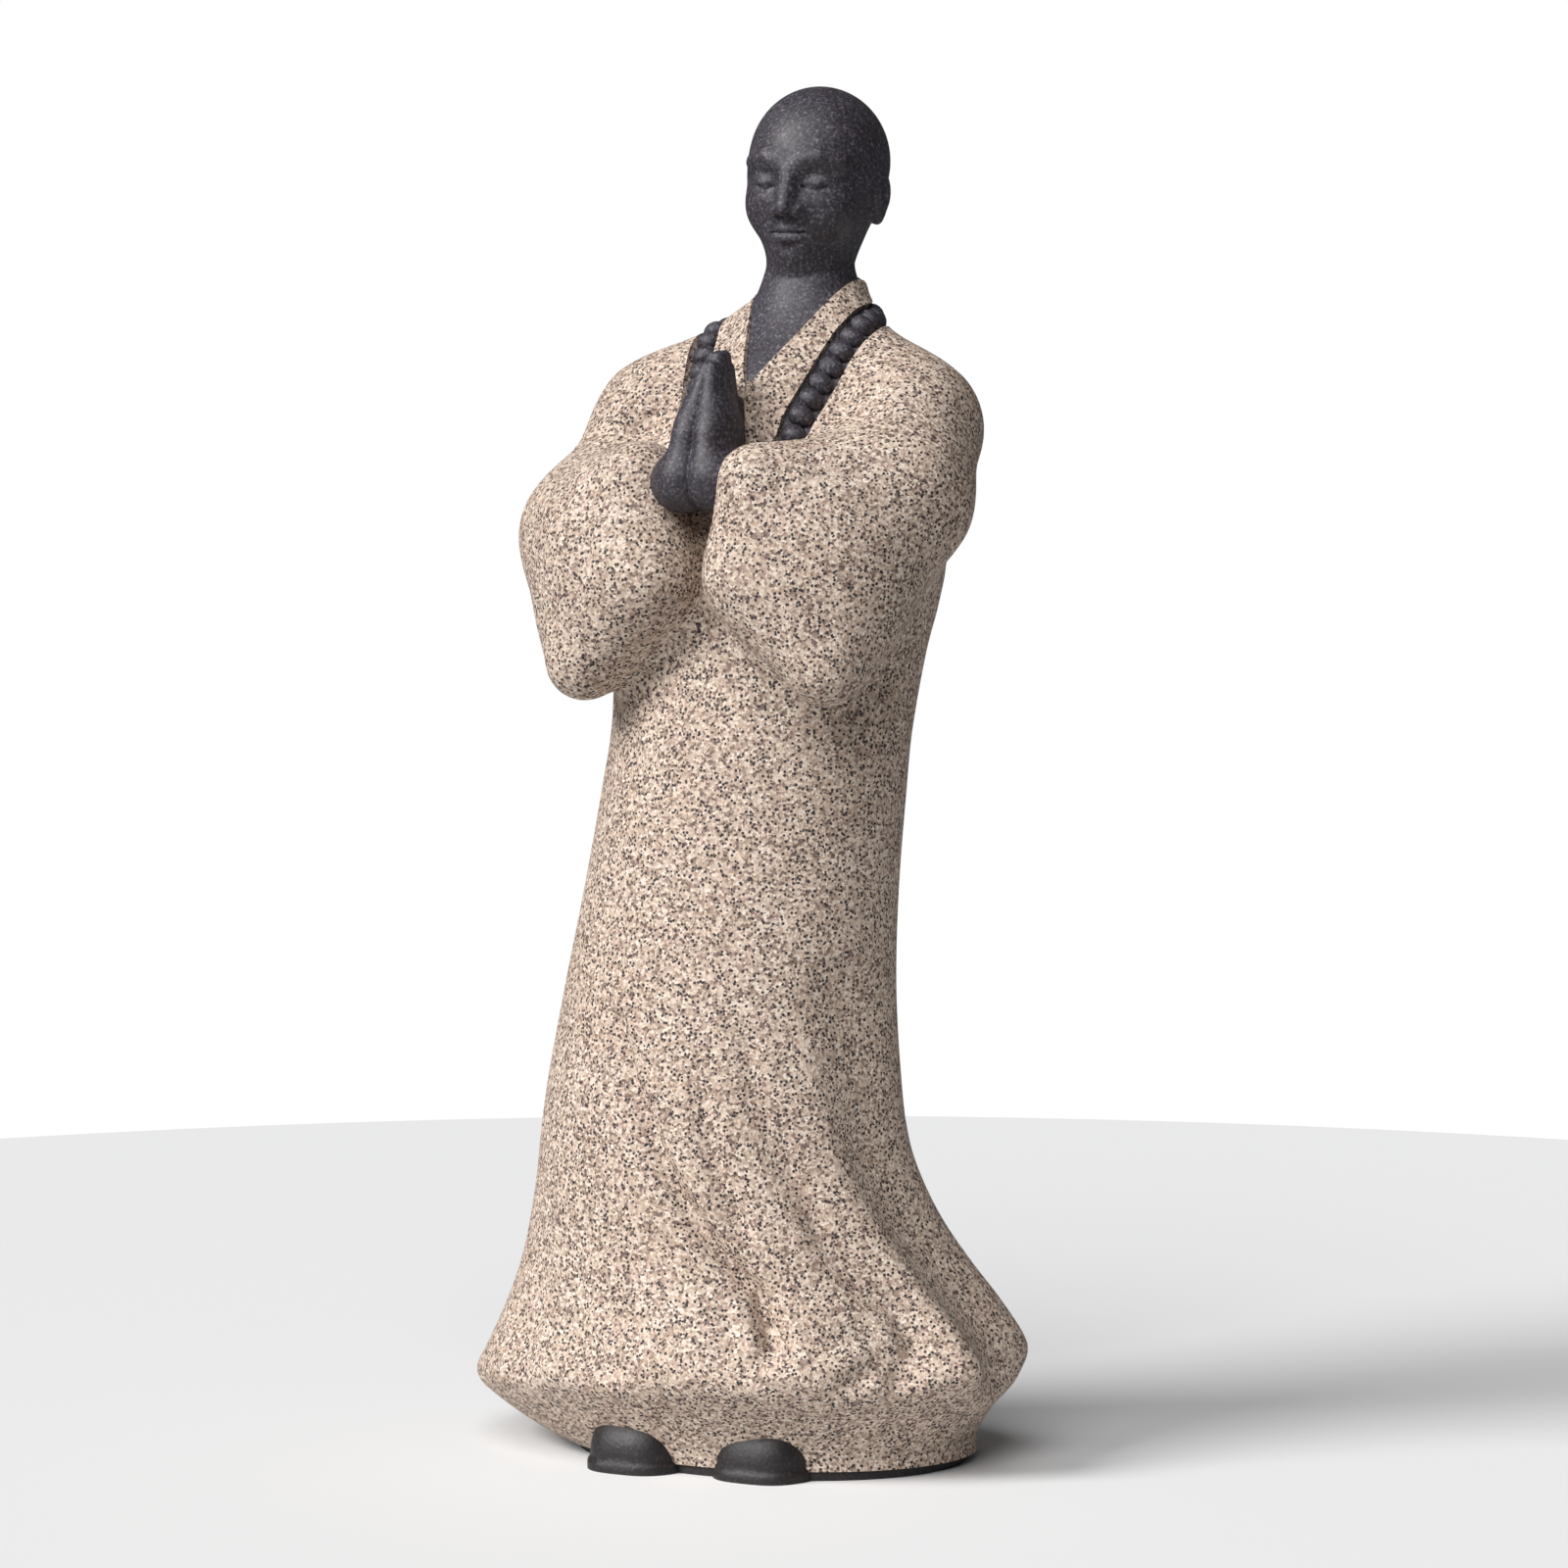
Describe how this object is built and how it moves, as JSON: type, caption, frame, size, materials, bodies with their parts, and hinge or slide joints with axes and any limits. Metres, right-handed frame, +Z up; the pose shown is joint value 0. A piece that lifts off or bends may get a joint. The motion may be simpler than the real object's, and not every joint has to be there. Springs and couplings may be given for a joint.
{
  "type": "ceramic monk statuette",
  "caption": "Standing monk in a wide-sleeved robe with palms pressed together, a bead string and round shoes, cast as one ceramic solid with a flat underside.",
  "frame": {"origin": "on the flat underside, below the middle of the foot ring, at the height of the surface it stands on", "axes": "+Z up along the figure, the figure faces -Y, and its own left hand is at +X"},
  "size_m": [0.1031, 0.0729, 0.2401],
  "materials": {
    "sand_glazed_clay": "rough speckled sand glaze on the robe, bare dark clay on the head, hands, beads and shoes"
  },
  "bodies": {
    "root": {"monk_statuette": "sand_glazed_clay"}
  },
  "joints": []
}
